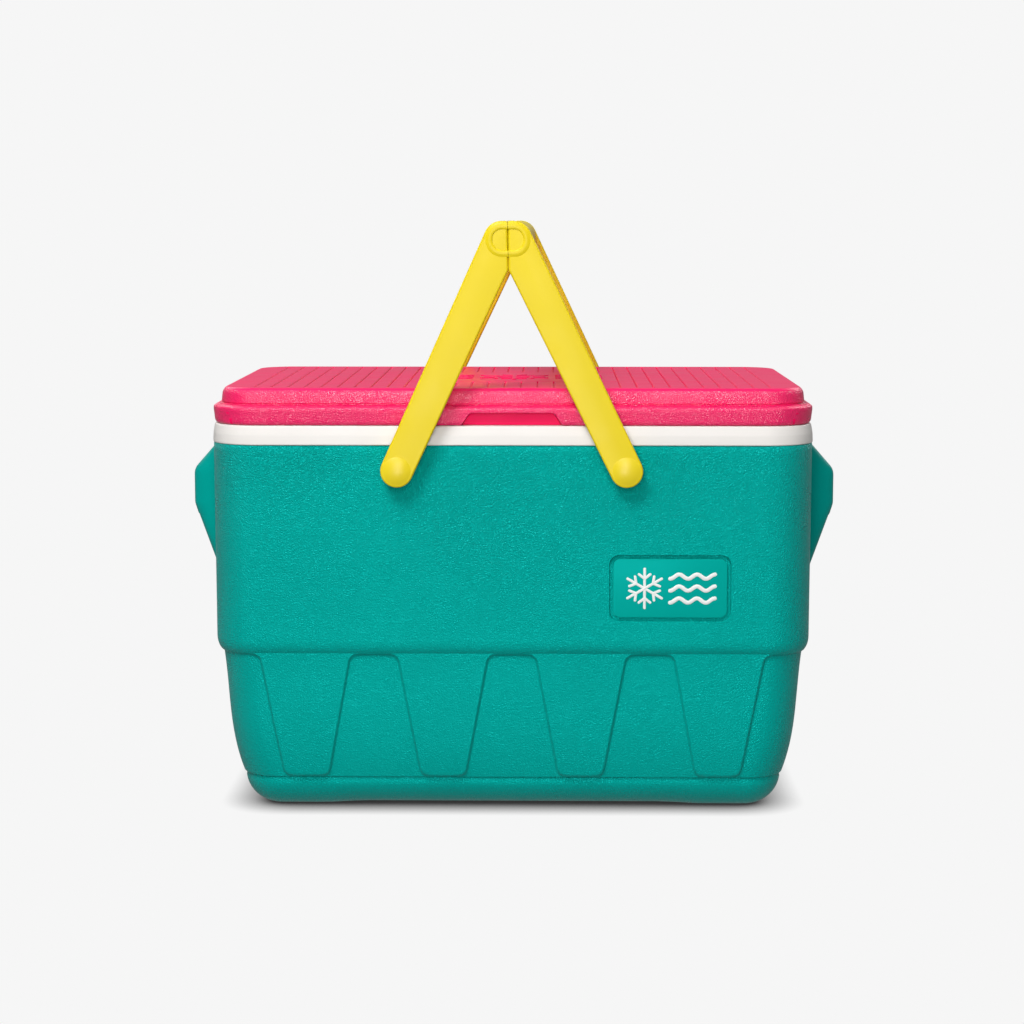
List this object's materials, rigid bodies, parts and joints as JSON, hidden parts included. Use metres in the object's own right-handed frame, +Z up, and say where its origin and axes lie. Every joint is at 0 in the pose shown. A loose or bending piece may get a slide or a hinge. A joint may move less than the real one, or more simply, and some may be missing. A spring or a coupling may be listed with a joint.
{
  "type": "picnic cooler chest",
  "caption": "Insulated picnic-basket cooler chest with a hinged grooved lid, white rim, moulded side grips and two swing-up bail handles that meet over the middle.",
  "frame": {"origin": "on the floor under the centre of the chest", "axes": "+X along the length towards the right-hand end, +Y towards the hinges at the back, +Z up; the front faces -Y"},
  "size_m": [0.5064, 0.3206, 0.4538],
  "materials": {
    "teal_shell": "satin",
    "insulation": "matte",
    "white_liner": "satin",
    "badge": "satin",
    "yellow_stud": "satin",
    "spacer": "satin",
    "steel": "satin",
    "white_hinge": "satin",
    "pink_lid": "satin",
    "yellow_bail": "satin"
  },
  "bodies": {
    "chest": {"outer_shell": "teal_shell", "body_foam": "insulation", "inner_liner": "white_liner", "badge_plate": "badge", "pivot_stud_front_left": "yellow_stud", "pivot_stud_front_right": "yellow_stud", "pivot_stud_rear_left": "yellow_stud", "pivot_stud_rear_right": "yellow_stud", "pivot_spacers": "spacer", "stud_retainers": "steel", "hinge_body_leaf_left": "white_hinge", "hinge_body_leaf_right": "white_hinge", "hinge_pin_left": "steel", "hinge_pin_right": "steel", "hinge_body_screws": "steel"},
    "lid": {"lid_shell": "pink_lid", "lid_foam": "insulation", "lid_pan": "white_liner", "hinge_lid_leaf_left": "white_hinge", "hinge_lid_leaf_right": "white_hinge", "hinge_lid_screws": "steel"},
    "left_bail": {"bail_left": "yellow_bail"},
    "right_bail": {"bail_right": "yellow_bail"}
  },
  "joints": [
    {"name": "lid_hinge", "type": "hinge", "parent": "chest", "child": "lid", "pos_m": [0, 0.1486, 0.30065], "axis": [-1, 0, 0], "range_deg": [0, 15]},
    {"name": "left_bail_swing", "type": "hinge", "parent": "chest", "child": "left_bail", "pos_m": [-0.0867, 0, 0.2672], "axis": [0, -1, 0], "range_deg": [0, 148]},
    {"name": "right_bail_swing", "type": "hinge", "parent": "chest", "child": "right_bail", "pos_m": [0.0867, 0, 0.2672], "axis": [0, 1, 0], "range_deg": [0, 148]}
  ]
}
